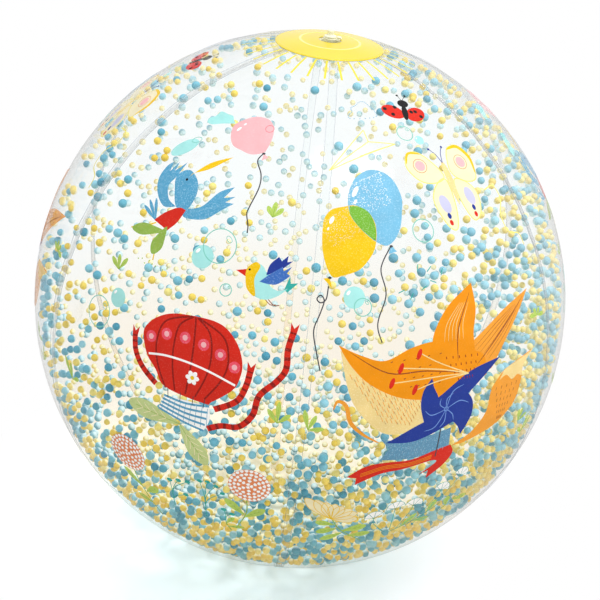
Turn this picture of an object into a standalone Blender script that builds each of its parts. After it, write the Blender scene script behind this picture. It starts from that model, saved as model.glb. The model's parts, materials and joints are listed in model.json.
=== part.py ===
"""Clear inflatable beach ball with loose foam beads inside and a sun-yellow cap that carries the valve.

Metres, +Z up. The origin is the centre of the flat bottom cap, the face that the ball rests on, and +Z is
the ball's axis of symmetry, through the valve. Six clear film panels lap one under the next along six seams.
A disc of film closes them at each pole. The valve slides in and out of the top disc, its plug swings aside
on a strap, and a flap under it stops the air from coming back. Beads lie against the inner wall in three
belts, which swirl round the axis independently.
"""

from math import acos, asin, cos, pi, radians, sin, sqrt

import bmesh
import bpy
from mathutils import Matrix, Vector

# Ball
BALL_RADIUS = 0.175
POLE_STRETCH = 1.02  # the inflated ball stands slightly taller than it is wide
FILM = 0.0003  # thickness of the clear film
GAP = 0.0003  # room between films that are welded on the real ball
PANELS = 6
LAP = 0.005  # width of film hidden under the next panel
LAP_COVER = LAP + 0.0015  # first strip of a panel, which covers its neighbour's lap
JOGGLE_START = 0.003  # distance before the seam where a panel starts to step inwards
JOGGLE_END = 0.0006
PANEL_COLUMNS = 7
PANEL_ROWS = 20

# Polar caps
CAP_RADIUS = 0.0335
CAP_FILM = 0.0004
PANEL_HOLE = 0.021  # radius at which the panels end, under the caps
CAP_STEPS = 48
CAP_HOLE = 0.007

# Heights that follow from the sizes above
CENTRE_HEIGHT = POLE_STRETCH * sqrt(BALL_RADIUS**2 - CAP_RADIUS**2)
FLAT_HEIGHT = CAP_FILM + GAP  # the panels' flat ends, resting on the bottom cap
CAP_TOP = CENTRE_HEIGHT + POLE_STRETCH * (BALL_RADIUS + GAP + CAP_FILM)

# Valve, with heights measured from the top of the top cap
VALVE_STEPS = 24
FLANGE_RADIUS = 0.0185
FLANGE_HOLE = 0.0065
FLANGE_THICKNESS = 0.0008
SKIRT_TOP = (0.0062, -0.0009)
SKIRT_BOTTOM = (0.0045, -0.0110)
SKIRT_WALL = 0.0005
STEM_RADIUS = 0.0035
STEM_BORE = 0.0023
STEM_TOP = 0.0012
STEM_BOTTOM = -0.0120
LIP_RADIUS = 0.0043
LIP_HEIGHT = 0.0008
LUG_REACH = 0.0060
LUG_WIDTH = 0.0030
LUG_INSET = 0.0001  # the lug and the strap are this much thinner than what they join, on each face
PLUG_RADIUS = 0.0038
PLUG_FACE = STEM_TOP + GAP
PLUG_DISC = 0.0010
SHANK_TOP_RADIUS = 0.0019
SHANK_TIP_RADIUS = 0.0015
SHANK_DEPTH = 0.0030
KNOB_RADIUS = 0.0022
KNOB_HEIGHT = 0.0035
KNOB_ROUND = 0.0008
STRAP_THICKNESS = 0.0006
PLUG_HINGE = (0.0066, 0.0013)
FLAP_RADIUS = 0.0032
FLAP_THICKNESS = 0.0004
FLAP_HINGE_X = -0.0033

# Beads
BLUE_BEAD_RADIUS = 0.0029
YELLOW_BEAD_RADIUS = 0.0025
BEAD_WALL_GAP = 0.0022  # from the ball's outer radius to a bead, past the film, the lap and the facets
BEADS_PER_BELT = 13
BEAD_BELTS = {"upper": (20, 68), "middle": (72, 113), "lower": (117, 160)}  # degrees from the top pole
GOLDEN_ANGLE = pi * (3 - sqrt(5))

# Colour with alpha, roughness
FINISHES = {
    "clear_film": ((0.86, 0.91, 0.94, 0.25), 0.08),
    "yellow_film": ((0.98, 0.82, 0.16, 0.85), 0.25),
    "valve_vinyl": ((0.95, 0.96, 0.90, 0.70), 0.20),
    "blue_foam": ((0.16, 0.50, 0.66, 1.0), 0.75),
    "yellow_foam": ((0.90, 0.68, 0.12, 1.0), 0.75),
}


def clear_scene():
    for old in list(bpy.data.objects):
        bpy.data.objects.remove(old)


def new_collection(name):
    made = bpy.data.collections.new(name)
    bpy.context.scene.collection.children.link(made)
    return made


def finish_material(name):
    made = bpy.data.materials.get(name)
    if made is None:
        colour, roughness = FINISHES[name]
        made = bpy.data.materials.new(name)
        made.use_nodes = True
        surface = made.node_tree.nodes["Principled BSDF"]
        surface.inputs["Base Color"].default_value = (*colour[:3], 1)
        surface.inputs["Alpha"].default_value = colour[3]
        surface.inputs["Roughness"].default_value = roughness
        surface.inputs["Metallic"].default_value = 0
    return made


def add_part(name, mesh, finish, location=(0, 0, 0)):
    part = bpy.data.objects.new(name, mesh)
    part.location = location
    if not mesh.materials:
        mesh.materials.append(finish_material(finish))
    PARTS.objects.link(part)
    return part


def add_pivot(name, location):
    """An empty on a joint's axis, for the pieces that turn about it."""
    pivot = bpy.data.objects.new(name, None)
    pivot.location = location
    PARTS.objects.link(pivot)
    return pivot


def hang_on(pivot, part):
    """Parents part to pivot and leaves it where it is."""
    part.parent = pivot
    part.location = Vector(part.location) - Vector(pivot.location)


def cylinder_mesh(name, radius, depth, steps):
    """A round plate on the Z axis, its bottom face at height 0."""
    bm = bmesh.new()
    bmesh.ops.create_cone(
        bm, cap_ends=True, segments=steps, radius1=radius, radius2=radius, depth=depth
    )
    bmesh.ops.translate(bm, vec=(0, 0, depth / 2), verts=bm.verts)
    return to_mesh(bm, name)


def box_mesh(name, low, high):
    bm = bmesh.new()
    bmesh.ops.create_cube(bm, size=1)
    size = Vector(high) - Vector(low)
    middle = (Vector(high) + Vector(low)) / 2
    bmesh.ops.transform(bm, matrix=Matrix.Translation(middle) @ Matrix.Diagonal((*size, 1)), verts=bm.verts)
    return to_mesh(bm, name)


def to_mesh(bm, name):
    mesh = bpy.data.meshes.new(name)
    bm.to_mesh(mesh)
    bm.free()
    return mesh


def turned_part(name, profile, finish, steps, height=0, closed=True):
    """A part turned about the Z axis from (radius, height) points, which run down its outer side."""
    bm = bmesh.new()
    points = [bm.verts.new((radius, 0, z)) for radius, z in profile]
    for first, second in zip(points, points[1:]):
        bm.edges.new((first, second))
    if closed:
        bm.edges.new((points[-1], points[0]))
    part = add_part(name, to_mesh(bm, name), finish, (0, 0, height))
    screw = part.modifiers.new("turn", "SCREW")
    screw.steps = steps
    screw.render_steps = steps
    screw.use_merge_vertices = True
    screw.merge_threshold = 0.00005
    screw.use_smooth_shade = True
    return part


def arc(radius, start, end, count):
    """Points (radius, height) on an arc about the ball's centre, stretched along the axis, from the top pole."""
    angles = [start + (end - start) * step / count for step in range(count + 1)]
    return [(radius * sin(a), POLE_STRETCH * radius * cos(a)) for a in angles]


def panel_profile():
    """Rows (radius, height, normal) of a panel's outer face, from the top hole down to the bottom hole."""
    top = asin(PANEL_HOLE / BALL_RADIUS)
    flat_angle = acos((FLAT_HEIGHT - CENTRE_HEIGHT) / (POLE_STRETCH * BALL_RADIUS))
    rows = []
    for radius, height in arc(BALL_RADIUS, top, flat_angle, PANEL_ROWS):
        rows.append((radius, CENTRE_HEIGHT + height, (radius / BALL_RADIUS, height / BALL_RADIUS)))
    corner_radius = rows[-1][0]
    for share in (0.5, 1.0):
        radius = corner_radius + (PANEL_HOLE - corner_radius) * share
        rows.append((radius, FLAT_HEIGHT, (0.0, -1.0)))
    return rows


def panel_columns(radius):
    """Pairs (longitude, depth) across a panel at this distance from the axis, from its open edge to its lap."""
    half = pi / PANELS
    start = -half + LAP_COVER / radius
    end = half - JOGGLE_START / radius
    under = FILM + GAP
    columns = [(-half, 0.0)]
    for step in range(PANEL_COLUMNS + 1):
        columns.append((start + (end - start) * step / PANEL_COLUMNS, 0.0))
    columns.append((half - JOGGLE_END / radius, under))
    columns.append((half + LAP / radius, under))
    return columns


def panel_mesh():
    """One panel's outer face as a bent grid, from one seam to its lap under the next panel."""
    rows = panel_profile()
    column_count = len(panel_columns(BALL_RADIUS))
    bm = bmesh.new()
    bmesh.ops.create_grid(bm, x_segments=column_count - 1, y_segments=len(rows) - 1, size=1)
    for vert in bm.verts:
        column = round((vert.co.x + 1) / 2 * (column_count - 1))
        row = round((1 - vert.co.y) / 2 * (len(rows) - 1))
        radius, height, (out, up) = rows[row]
        longitude, depth = panel_columns(radius)[column]
        reach = radius - depth * out
        vert.co = (reach * cos(longitude), reach * sin(longitude), height - depth * up)
    return to_mesh(bm, "panel")


def make_panels():
    mesh = panel_mesh()
    for number in range(PANELS):
        panel = add_part(f"panel_{number + 1}", mesh, "clear_film")
        panel.rotation_euler.z = -pi / 2 + (number + 0.5) * 2 * pi / PANELS
        film = panel.modifiers.new("film", "SOLIDIFY")
        film.thickness = FILM
        film.offset = -1
        film.use_even_offset = True


def make_caps():
    rim = asin(CAP_RADIUS / BALL_RADIUS)
    hole = asin(CAP_HOLE / BALL_RADIUS)
    inner = BALL_RADIUS + GAP
    profile = arc(inner + CAP_FILM, hole, rim, 5) + arc(inner, rim, hole, 5)
    turned_part("top_cap", profile, "yellow_film", CAP_STEPS, CENTRE_HEIGHT)
    add_part("bottom_cap", cylinder_mesh("bottom_cap", CAP_RADIUS, CAP_FILM, CAP_STEPS), "clear_film")


def make_valve_seat():
    """The flange welded under the top cap, and the soft skirt that rolls as the stem is pulled out."""
    inner = asin(FLANGE_HOLE / BALL_RADIUS)
    outer = asin(FLANGE_RADIUS / BALL_RADIUS)
    profile = arc(BALL_RADIUS, inner, outer, 3) + arc(BALL_RADIUS - FLANGE_THICKNESS, outer, inner, 3)
    turned_part("valve_flange", profile, "valve_vinyl", CAP_STEPS, CENTRE_HEIGHT)
    (top_radius, top), (bottom_radius, bottom) = SKIRT_TOP, SKIRT_BOTTOM
    wall = [
        (top_radius, top),
        (bottom_radius, bottom),
        (bottom_radius - SKIRT_WALL, bottom),
        (top_radius - SKIRT_WALL, top),
    ]
    turned_part("valve_skirt", wall, "valve_vinyl", VALVE_STEPS, CAP_TOP)


def make_stem():
    """The valve's tube with its lip, and the lug that the plug's strap is moulded to."""
    profile = [
        (LIP_RADIUS, STEM_TOP),
        (LIP_RADIUS, STEM_TOP - LIP_HEIGHT),
        (STEM_RADIUS, STEM_TOP - LIP_HEIGHT),
        (STEM_RADIUS, STEM_BOTTOM),
        (STEM_BORE, STEM_BOTTOM),
        (STEM_BORE, STEM_TOP),
    ]
    stem = turned_part("valve_stem", profile, "valve_vinyl", VALVE_STEPS, CAP_TOP)
    low = (STEM_RADIUS, -LUG_WIDTH / 2, STEM_TOP - LIP_HEIGHT + LUG_INSET)
    high = (LUG_REACH, LUG_WIDTH / 2, STEM_TOP - LUG_INSET)
    lug = bpy.data.objects.new("lug", box_mesh("lug", low, high))
    lug.location.z = CAP_TOP
    lug.hide_render = True
    lug.display_type = "WIRE"
    CUTTERS.objects.link(lug)
    join = stem.modifiers.new("lug", "BOOLEAN")
    join.operation = "UNION"
    join.object = lug


def make_plug():
    """The stopper: a tapered shank in the stem's bore, a disc on its lip and a knob to pull it by."""
    hinge_x, hinge_height = PLUG_HINGE
    pivot = add_pivot("plug_hinge", (hinge_x, 0, CAP_TOP + hinge_height))
    knob_foot = PLUG_FACE + PLUG_DISC
    knob_top = knob_foot + KNOB_HEIGHT
    profile = [
        (0, knob_top),
        (KNOB_RADIUS - KNOB_ROUND, knob_top),
        (KNOB_RADIUS, knob_top - KNOB_ROUND),
        (KNOB_RADIUS, knob_foot),
        (PLUG_RADIUS, knob_foot),
        (PLUG_RADIUS, PLUG_FACE),
        (SHANK_TOP_RADIUS, PLUG_FACE),
        (SHANK_TIP_RADIUS, PLUG_FACE - SHANK_DEPTH),
        (0, PLUG_FACE - SHANK_DEPTH),
    ]
    plug = turned_part("valve_plug", profile, "valve_vinyl", VALVE_STEPS, CAP_TOP, closed=False)
    low = (PLUG_RADIUS + GAP, -LUG_WIDTH / 2, PLUG_FACE + LUG_INSET)
    high = (hinge_x - LUG_INSET, LUG_WIDTH / 2, PLUG_FACE + LUG_INSET + STRAP_THICKNESS)
    strap = add_part("plug_strap", box_mesh("plug_strap", low, high), "valve_vinyl", (0, 0, CAP_TOP))
    for piece in (plug, strap):
        hang_on(pivot, piece)


def make_flap():
    """The thin flap that air pressure holds against the stem's inner end."""
    top = CAP_TOP + STEM_BOTTOM - GAP
    pivot = add_pivot("flap_hinge", (FLAP_HINGE_X, 0, top))
    mesh = cylinder_mesh("valve_flap", FLAP_RADIUS, FLAP_THICKNESS, VALVE_STEPS)
    hang_on(pivot, add_part("valve_flap", mesh, "valve_vinyl", (0, 0, top - FLAP_THICKNESS)))


def bead_mesh(name, radius):
    bm = bmesh.new()
    bmesh.ops.create_icosphere(bm, subdivisions=2, radius=radius)
    mesh = to_mesh(bm, name)
    mesh.shade_smooth()
    return mesh


def make_beads():
    """Sample beads against the inner wall. In each belt they follow a golden-angle spiral from top to bottom."""
    kinds = (
        ("blue", BLUE_BEAD_RADIUS, bead_mesh("blue_bead", BLUE_BEAD_RADIUS)),
        ("yellow", YELLOW_BEAD_RADIUS, bead_mesh("yellow_bead", YELLOW_BEAD_RADIUS)),
    )
    for belt, (top, bottom) in BEAD_BELTS.items():
        pivot = add_pivot(f"{belt}_beads", (0, 0, CENTRE_HEIGHT))
        for number in range(BEADS_PER_BELT):
            colour, bead_radius, mesh = kinds[number % len(kinds)]
            share = (number + 0.5) / BEADS_PER_BELT
            height = cos(radians(top)) + (cos(radians(bottom)) - cos(radians(top))) * share
            reach = BALL_RADIUS - BEAD_WALL_GAP - bead_radius
            across = reach * sqrt(1 - height**2)
            turn = number * GOLDEN_ANGLE
            place = (across * cos(turn), across * sin(turn), CENTRE_HEIGHT + POLE_STRETCH * reach * height)
            name = f"{colour}_bead_{belt}_{number + 1:02d}"
            hang_on(pivot, add_part(name, mesh, f"{colour}_foam", place))


clear_scene()
PARTS = new_collection("beach_ball")
CUTTERS = new_collection("cutters")
make_panels()
make_caps()
make_valve_seat()
make_stem()
make_plug()
make_flap()
make_beads()
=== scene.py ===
"""Looks of the clear beach ball: smooth film, printed artwork, foam beads and a soft white studio.

Metres, in the frame of the CAD model. Artwork is drawn flat, in millimetres, and bent onto the ball.
"""

import json
import random
from itertools import product
from math import acos, asin, atan2, ceil, cos, degrees, e, floor, hypot, pi, radians, sin, sqrt

import bmesh
import bpy
import numpy as np
from mathutils import Matrix, Vector, noise
from mathutils.geometry import delaunay_2d_cdt


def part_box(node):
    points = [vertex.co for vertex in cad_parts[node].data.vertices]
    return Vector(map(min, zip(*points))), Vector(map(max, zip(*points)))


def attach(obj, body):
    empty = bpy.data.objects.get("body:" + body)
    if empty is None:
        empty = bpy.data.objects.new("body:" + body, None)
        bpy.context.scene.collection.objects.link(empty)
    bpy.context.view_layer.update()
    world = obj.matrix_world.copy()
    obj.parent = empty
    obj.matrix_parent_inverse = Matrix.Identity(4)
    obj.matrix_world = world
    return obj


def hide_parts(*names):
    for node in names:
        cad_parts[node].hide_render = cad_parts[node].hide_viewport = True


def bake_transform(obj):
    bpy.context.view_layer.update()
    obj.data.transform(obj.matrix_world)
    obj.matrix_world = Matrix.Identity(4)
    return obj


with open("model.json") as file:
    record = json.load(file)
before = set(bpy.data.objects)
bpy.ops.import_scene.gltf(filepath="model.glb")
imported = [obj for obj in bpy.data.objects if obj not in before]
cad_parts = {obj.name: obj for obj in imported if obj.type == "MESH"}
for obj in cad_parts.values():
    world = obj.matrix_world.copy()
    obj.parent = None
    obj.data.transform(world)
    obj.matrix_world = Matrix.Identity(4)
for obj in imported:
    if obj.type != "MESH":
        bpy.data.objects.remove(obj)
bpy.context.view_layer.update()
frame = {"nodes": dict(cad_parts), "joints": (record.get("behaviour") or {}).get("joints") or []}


# ---- Sizes, from the frame where it holds them


def joint(name):
    return next(j for j in frame["joints"] if j["name"] == name)


def measured_radius():
    """The ball's radius at the equator, from the CAD panels, whose points lie on the stretched sphere."""
    reach = 0
    for vertex in frame["nodes"]["panel_1"].data.vertices:
        across = vertex.co - CENTRE
        reach = max(reach, hypot(across.x, across.y, across.z / POLE_STRETCH))
    return reach


MM = 0.001
POLE_STRETCH = 1.02
CENTRE = Vector(joint("middle_swirl")["pos_m"])
BALL_RADIUS = measured_radius()
PANEL_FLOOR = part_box("panel_1")[0].z
CAP_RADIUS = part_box("top_cap")[1].x

# Film panels
PANELS = 6
PANEL_TURN = 2 * pi / PANELS
FRONT_SEAM = -pi / 2
FILM = 0.3 * MM
GAP = 0.3 * MM
LAP = 5 * MM
LAP_COVER = LAP + 1.5 * MM
JOGGLE_START = 7 * MM  # before the seam, where the film starts to dip under the next panel
JOGGLE_END = 0.6 * MM
PANEL_HOLE = 21 * MM
PANEL_TOP = acos(PANEL_HOLE / BALL_RADIUS)  # latitude of the panels' ends, north and south
PANEL_COLUMNS = 26
PANEL_ROWS = 110
PUCKER_DEPTH = 0.5 * MM
PUCKER_REACH = 9 * MM
PUCKER_WAVES = 46
WELD_WIDTH = 0.22 * MM
WELD_SPAN = 1.93  # share of PANEL_TOP that a weld line covers from its north end, where 2 is pole to pole

# Cap
CAP_FILM = 0.4 * MM
CAP_HOLE = 7 * MM
CAP_DOME = BALL_RADIUS + GAP + CAP_FILM
CAP_RING = 18.5 * MM
RING_HEIGHT = 0.35 * MM
RING_WIDTH = 0.7 * MM
HEM_INSET = 1.6 * MM

# Valve
FLANGE_HOLE = 6.5 * MM
FLANGE_THICKNESS = 0.8 * MM
STEM_RADIUS = 3.5 * MM
STEM_BORE = 2.3 * MM
LIP_HEIGHT = 0.8 * MM
LUG_WIDTH = 3 * MM
LUG_INSET = 0.1 * MM
PLUG_DISC = 1.0 * MM
KNOB_RADIUS = 2.2 * MM
KNOB_HEIGHT = 3.5 * MM
SHANK_RADIUS = 1.9 * MM
SKIRT_FOOT = 4.5 * MM
SKIRT_WALL = 0.5 * MM

# Print
INK_THICKNESS = 0.03 * MM
INK_LIFT = 0.10 * MM
INK_LAYER = 0.05 * MM
INK_GRID = 6  # millimetres
SUN_RAYS = 33
SUN_REACH = 54.5  # millimetres from the pole

# Beads
BEAD_RADII = {"blue": 2.9 * MM, "yellow": 2.5 * MM}
BEAD_SHARES = (0.75, 0.96)  # smallest and largest of the loose beads, as shares of the radius above
BEAD_PITCH = 5.9 * MM
BEAD_WALL_GAP = 1.6 * MM
BELT_EDGES = {"upper": (0, 70), "middle": (70, 115), "lower": (115, 180)}  # degrees from the top pole
BEAD_TOP = radians(76)
BEAD_LAYERS = ((23000, 1.0), (11000, 1.0), (5000, 0.7))  # tries and share kept, from the wall inwards
BLUE_SHARE = 0.49
BEADS_PER_PIECE = 600
# FAR_GLOW is a painted glow: emission on the foam that stands in for light coming through it.
FAR_GLOW = 0.12  # light that comes through the foam, on the side that faces the inside of the ball

# Camera
CAMERA_AZIMUTH = -2.1
CAMERA_ELEVATION = 26.0
CAMERA_DISTANCE = 0.90
CAMERA_LENS = 80.3
CAMERA_ROLL = 6.6  # degrees by which the ball's axis leans to the right in the picture


# ---- Geometry helpers


def on_ball(longitude, latitude, height=0.0):
    """The point at a longitude and latitude in radians, this high above the ball's outer surface."""
    radius = BALL_RADIUS + height
    across = radius * cos(latitude)
    up = POLE_STRETCH * radius * sin(latitude)
    return CENTRE + Vector((across * cos(longitude), across * sin(longitude), up))


def new_object(name, data):
    made = bpy.data.objects.new(name, data)
    bpy.context.scene.collection.objects.link(made)
    return made


def add_piece(name, data, *materials, body="shell", slot="clear_film", stands_for=()):
    """A piece of the ball that rides on a body and may replace CAD nodes. The slot argument is not used."""
    for material in materials:
        data.materials.append(material)
    piece = new_object(name, data)
    if body:
        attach(piece, body)
    if stands_for:
        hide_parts(*stands_for)
    return piece


def thicken(piece, thickness, offset):
    """Makes a sheet solid, inwards with an offset of -1 and outwards with 1."""
    skin = piece.modifiers.new("thickness", "SOLIDIFY")
    skin.thickness = thickness
    skin.offset = offset


def to_mesh(bm, name, smooth=True):
    mesh = bpy.data.meshes.new(name)
    bm.to_mesh(mesh)
    bm.free()
    if smooth:
        mesh.shade_smooth()
    return mesh


def turned_mesh(name, profile, steps=96, closed=True):
    """Turns (radius, height) points, listed down the outer side, about the ball's axis into a closed mesh."""
    bm = bmesh.new()
    rings = []
    turns = [2 * pi * step / steps for step in range(steps)]
    for radius, height in profile:
        if radius < 1e-6:
            rings.append([bm.verts.new((0, 0, height))] * steps)
        else:
            rings.append([bm.verts.new((radius * cos(t), radius * sin(t), height)) for t in turns])
    pairs = list(zip(rings, rings[1:]))
    if closed:
        pairs.append((rings[-1], rings[0]))
    for upper, lower in pairs:
        for step in range(steps):
            after = (step + 1) % steps
            corners = list(dict.fromkeys([upper[step], lower[step], lower[after], upper[after]]))
            if len(corners) > 2:
                bm.faces.new(corners)
    bmesh.ops.recalc_face_normals(bm, faces=bm.faces)
    return to_mesh(bm, name)


# ---- Materials


def linear(red, green, blue):
    """A colour given as on screen, 0 to 255, in the linear values that nodes use."""
    shares = [value / 255 for value in (red, green, blue)]
    return tuple(s / 12.92 if s <= 0.04045 else ((s + 0.055) / 1.055) ** 2.4 for s in shares) + (1.0,)


class Nodes:
    """Short calls for building the node tree of a material or of the world."""

    def __init__(self, owner, kind="Material"):
        owner.use_nodes = True
        self.owner = owner
        self.tree = owner.node_tree
        self.tree.nodes.clear()
        self.output = self.tree.nodes.new("ShaderNodeOutput" + kind)

    def add(self, kind, inputs=None, output=0, **settings):
        """Adds a node and returns one output of it. An input is a value or the output of another node."""
        node = self.tree.nodes.new("ShaderNode" + kind)
        for key, value in settings.items():
            setattr(node, key, value)
        for key, value in (inputs or {}).items():
            if isinstance(value, bpy.types.NodeSocket):
                self.tree.links.new(value, node.inputs[key])
            else:
                node.inputs[key].default_value = value
        return node.outputs[output]

    def surface(self, shader):
        self.tree.links.new(shader, self.output.inputs["Surface"])
        return self.owner

    def math(self, operation, first, second=0.0):
        return self.add("Math", {0: first, 1: second}, operation=operation)

    def spread(self, value, low, high, to_low=0.0, to_high=1.0, smooth=False):
        """Takes low to to_low and high to to_high, evenly or smoothly, and holds these ends beyond them."""
        inputs = {"Value": value, "From Min": low, "From Max": high, "To Min": to_low, "To Max": to_high}
        return self.add("MapRange", inputs, interpolation_type="SMOOTHSTEP" if smooth else "LINEAR")

    def mix_colour(self, factor, first, second, blend="MIX"):
        inputs = {"Factor": factor, 6: first, 7: second}
        return self.add("Mix", inputs, 2, data_type="RGBA", blend_type=blend)

    def mix_shader(self, factor, first, second):
        return self.add("MixShader", {0: factor, 1: first, 2: second})

    def geometry(self, output):
        return self.add("NewGeometry", output=output)

    def edge_on(self):
        """From 0 where the eye meets the surface face on to 1 where it meets it edge on."""
        return self.add("LayerWeight", {"Blend": 0.5}, "Facing")

    def noise(self, scale, detail=2.0, roughness=0.5):
        inputs = {"Scale": scale, "Detail": detail, "Roughness": roughness}
        return self.add("TexNoise", {"Vector": self.geometry("Position"), **inputs}, "Fac")

    def bump(self, height, strength, distance):
        return self.add("Bump", {"Height": height, "Strength": strength, "Distance": distance})

    def outward_share(self, direction):
        """How far "Incoming" or "Normal" points away from the ball's centre, from -1 to 1.

        Incoming points to the eye, so it is above 0 on the wall nearer the eye and below 0 on the far wall.
        """
        across = self.add("VectorMath", {0: self.geometry("Position"), 1: CENTRE}, operation="SUBTRACT")
        outward = self.add("VectorMath", {0: across}, operation="NORMALIZE")
        inputs = {0: outward, 1: self.geometry(direction)}
        return self.add("VectorMath", inputs, "Value", operation="DOT_PRODUCT")

    def along(self, axis):
        return self.add("SeparateXYZ", {0: self.geometry("Position")}, axis)

    def from_axis(self, centre=(0, 0)):
        """The level distance from the ball's axis, or from another upright line."""
        squares = []
        for axis, middle in zip("XY", centre):
            across = self.math("SUBTRACT", self.along(axis), middle)
            squares.append(self.math("MULTIPLY", across, across))
        return self.math("SQRT", self.math("ADD", *squares))

    def seen(self):
        """1 for what the camera or a reflection sees, and 0 for the light that falls on things."""
        rays = [self.add("LightPath", output=f"Is {ray} Ray") for ray in ("Camera", "Glossy")]
        return self.math("MAXIMUM", *rays)


def new_material(name):
    return Nodes(bpy.data.materials.new(name))


def film_material():
    """Clear glossy vinyl: see-through face on, greyer and shinier where the eye meets it edge on.

    The lower part of the far wall has a painted cream shade, which stands in for the shaded floor seen
    through the ball.
    """
    n = new_material("clear_film")
    # painted cream shade: the far wall's lower part tints what is seen through it
    low = n.spread(n.along("Z"), CENTRE.z * 1.1, CENTRE.z * 0.35, smooth=True)
    far = n.spread(n.outward_share("Incoming"), -0.1, -0.5, smooth=True)
    face_on = n.mix_colour(n.math("MULTIPLY", low, far), linear(254, 255, 255), linear(254, 249, 241))
    tint = n.mix_colour(n.math("POWER", n.edge_on(), 5.0), face_on, linear(244, 242, 240))
    clear = n.add("BsdfTransparent", {"Color": tint})
    haze = n.add("BsdfDiffuse", {"Color": linear(246, 248, 250)})
    ripple = n.bump(n.noise(55), 0.07, 0.0006)
    shine = n.add("BsdfGlossy", {"Roughness": 0.07, "Color": linear(240, 243, 245), "Normal": ripple})
    glare = n.spread(n.math("POWER", n.edge_on(), 4.5), 0, 1, 0.005, 0.42)
    lit_from_above = n.spread(n.along("Z"), 0.15 * CENTRE.z, CENTRE.z, 0.3, 1, smooth=True)
    amount = n.math("MULTIPLY", glare, lit_from_above)
    return n.surface(n.mix_shader(amount, n.mix_shader(0.006, clear, haze), shine))


def weld_material():
    """The grey line of a lap's edge, which catches the light in places and fades on the far wall."""
    n = new_material("weld_line")
    clear = n.add("BsdfTransparent", {"Color": linear(244, 245, 247)})
    solid = n.add("BsdfPrincipled", {"Base Color": linear(208, 212, 217), "Roughness": 0.25})
    patches = n.spread(n.noise(60, 3), 0.35, 0.65, 0.02, 0.28)
    near = n.spread(n.outward_share("Incoming"), -0.1, 0.1, 0.3, 1)
    return n.surface(n.mix_shader(n.math("MULTIPLY", patches, near), clear, solid))


def ink_material(name, colour, opacity, grain):
    """Screen-printed ink: slightly uneven, with pale specks where the crayon texture lets the film through.

    It hardly shows from inside the ball, through the beads and the far wall.
    """
    n = new_material("ink_" + name)
    specks = n.spread(n.noise(1500, 2, 0.6), 0.60 - 0.12 * grain, 0.72 - 0.06 * grain)
    dark, light = (linear(*(c * share for c in colour)) for share in (0.91, 0.96))
    tone = n.mix_colour(n.spread(n.noise(90, 3), 0.3, 0.7), dark, light)
    pale = linear(*(c + (255 - c) * 0.45 for c in colour))
    look = {
        "Base Color": n.mix_colour(n.math("MULTIPLY", specks, grain), tone, pale),
        "Roughness": 0.5,
        "Specular IOR Level": 0.12,
        "Normal": n.bump(n.noise(900), 0.1, 0.0001),
    }
    near = n.spread(n.outward_share("Incoming"), -0.12, 0.02)
    face_on = n.spread(n.edge_on(), 0.55, 0.9, opacity, 0.25 * opacity)
    cover = n.math("MULTIPLY", n.spread(near, 0, 1, 0.008, 1.0), face_on)
    return n.surface(n.mix_shader(cover, n.add("BsdfTransparent"), n.add("BsdfPrincipled", look)))


def foam_material(name, deep, mid, light, painted_pale_tone):
    """Expanded polystyrene. Each bead has its own tone and fine cells.

    Light is painted into the colour: beads turn paler towards the upper right, as if lit from the right. They
    are also paler on the far wall and on each bead's side that faces the ball's inside, where a pale wash
    stands in for back light and the film's haze, and this wash is weaker low down. That pale side also has a
    painted glow.
    """
    n = new_material("foam_" + name)
    painted_pale_colour = linear(*painted_pale_tone)
    own = n.add("ValToRGB", {0: n.geometry("Random Per Island")})
    ramp = own.node.color_ramp
    ramp.elements[0].color = linear(*deep)
    ramp.elements[1].color = linear(*light)
    ramp.elements.new(0.55).color = linear(*mid)
    mottle = n.spread(n.noise(700, 3), 0.25, 0.75, 0.86, 1.0)
    tone = n.mix_colour(1.0, own, n.add("CombineColor", {0: mottle, 1: mottle, 2: mottle}), "MULTIPLY")
    # painted light: the colour turns paler towards the right and higher up, as if lit from the right
    right = n.spread(n.along("X"), 0, BALL_RADIUS)
    painted_light_right = n.math("MULTIPLY", right, n.spread(n.along("Z"), 0.5 * CENTRE.z, 1.2 * CENTRE.z))
    tone = n.mix_colour(n.math("MULTIPLY", painted_light_right, 0.5), tone, painted_pale_colour)
    # painted back light and haze: a bead's side that faces the ball's inside, and beads on the far wall, are
    # paler; the pale wash is weaker low down
    outer_side = n.spread(n.outward_share("Normal"), -0.75, 0.05, smooth=True)
    near_wall = n.spread(n.outward_share("Incoming"), -0.35, -0.05)
    least = n.spread(n.along("Z"), 0.6 * CENTRE.z, 1.4 * CENTRE.z, 0.85, 0.45)
    near = n.math("MULTIPLY", outer_side, n.math("MAXIMUM", near_wall, least))
    cells = {"Vector": n.geometry("Position"), "Scale": 1500}
    cell_walls = n.add("TexVoronoi", cells, "Distance", feature="DISTANCE_TO_EDGE")
    look = {
        "Base Color": n.mix_colour(near, painted_pale_colour, tone),
        "Roughness": 0.55,
        "Specular IOR Level": 0.25,
        # painted glow on the pale side, standing in for light that comes through the foam
        "Emission Color": painted_pale_colour,
        "Emission Strength": n.spread(near, 0, 1, FAR_GLOW, 0),
        "Normal": n.bump(cell_walls, 0.25, 0.0002),
    }
    return n.surface(n.add("BsdfPrincipled", look))


def cap_material():
    """Translucent lemon-yellow vinyl with a paler ring, where the ring-shaped weld is."""
    n = new_material("yellow_film")
    yellow = n.mix_colour(n.spread(n.noise(30, 3), 0.3, 0.7), linear(236, 214, 50), linear(242, 222, 64))
    off_ring = n.math("ABSOLUTE", n.math("SUBTRACT", n.from_axis(), CAP_RING))
    ring = n.spread(off_ring, 0.9 * MM, 0.5 * MM)
    look = {
        "Base Color": n.mix_colour(ring, yellow, linear(253, 244, 150)),
        "Roughness": 0.16,
        "Normal": n.bump(n.noise(60, 3), 0.12, 0.0005),
    }
    clear = n.add("BsdfTransparent", {"Color": linear(255, 240, 140)})
    return n.surface(n.mix_shader(0.8, clear, n.add("BsdfPrincipled", look)))


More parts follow.
